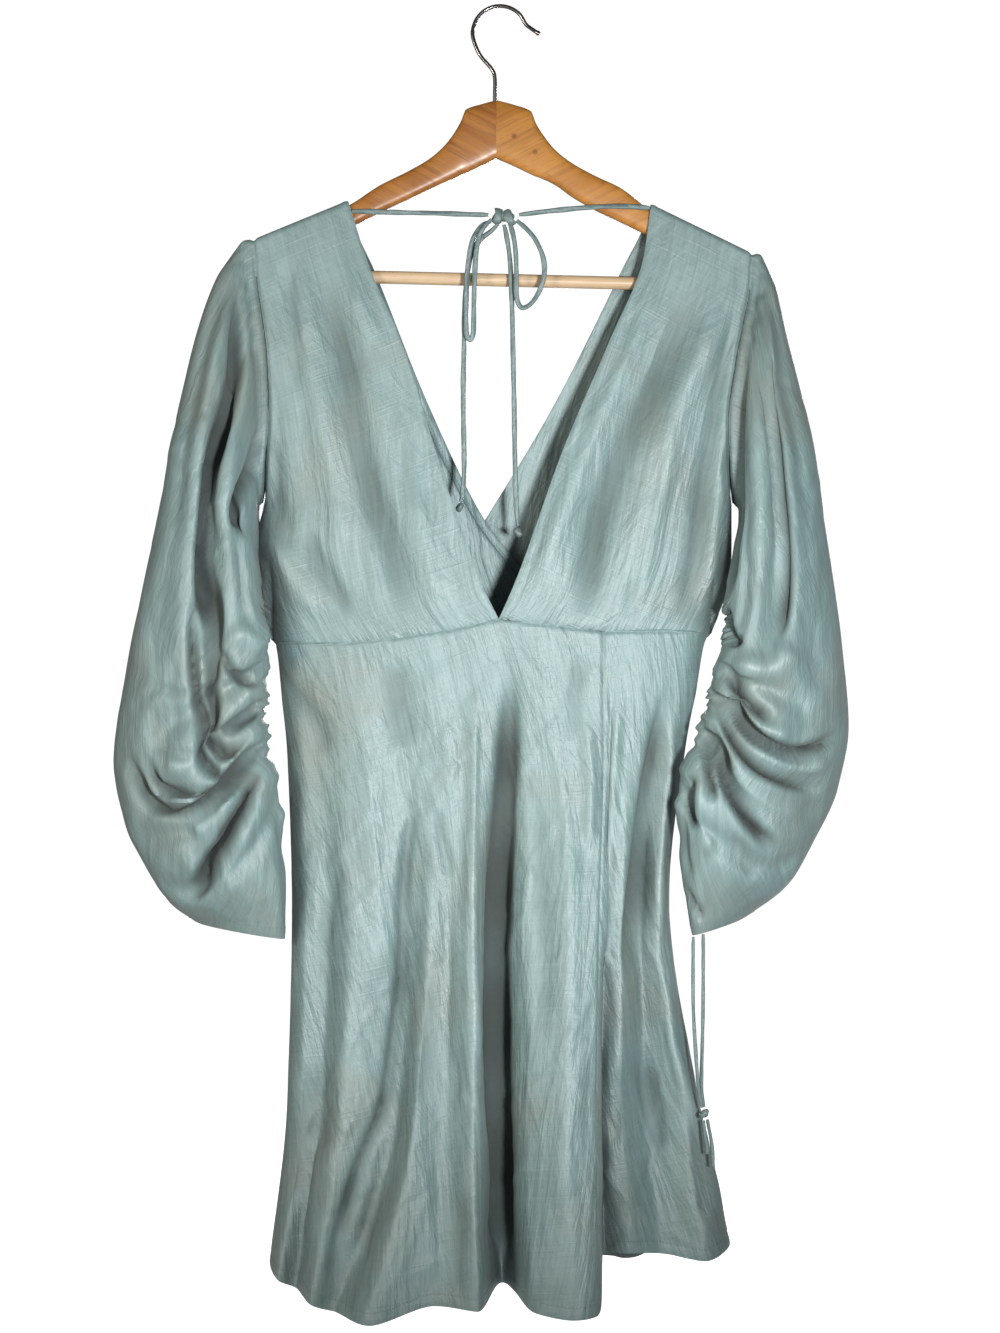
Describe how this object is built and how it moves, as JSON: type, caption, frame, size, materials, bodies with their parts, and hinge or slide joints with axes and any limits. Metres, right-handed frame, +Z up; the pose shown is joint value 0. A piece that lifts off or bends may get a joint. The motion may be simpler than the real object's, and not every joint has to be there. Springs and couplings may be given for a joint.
{
  "type": "mini dress on wooden hanger",
  "caption": "A-line mini dress with deep open back, crossover front, ruched balloon sleeves and tied bow, hung on a wooden hanger with bar and hook.",
  "frame": {"origin": "inner top of the hook, where a rail or a nail carries the hanger", "axes": "+Z up, +X to the right as seen from the open back of the dress, -Y towards that viewer"},
  "size_m": [0.6214, 0.192, 1.1006],
  "materials": {
    "satin": "slubby sea-green satin linen",
    "arm_wood": "honey brown lacquered wood",
    "bar_wood": "pale bare wood",
    "steel": "bright plated wire"
  },
  "bodies": {
    "root": {"back_bodice_left": "satin", "back_bodice_right": "satin", "front_bodice_left": "satin", "front_bodice_right": "satin", "back_skirt_left": "satin", "back_skirt_right": "satin", "front_skirt": "satin", "sleeve_left": "satin", "sleeve_right": "satin", "neck_tie_left": "satin", "neck_tie_right": "satin", "bow_loop_left": "satin", "bow_loop_right": "satin", "bow_end_left": "satin", "bow_end_right": "satin", "bow_knot": "satin", "bow_end_knot_left": "satin", "bow_end_knot_right": "satin", "cuff_string_inner": "satin", "cuff_string_outer": "satin", "cuff_string_knot": "satin", "cuff_tail_inner": "satin", "cuff_tail_outer": "satin", "hanger_arm_left": "arm_wood", "hanger_arm_right": "arm_wood", "hanger_bar": "bar_wood", "hanger_hook": "steel"}
  },
  "joints": []
}
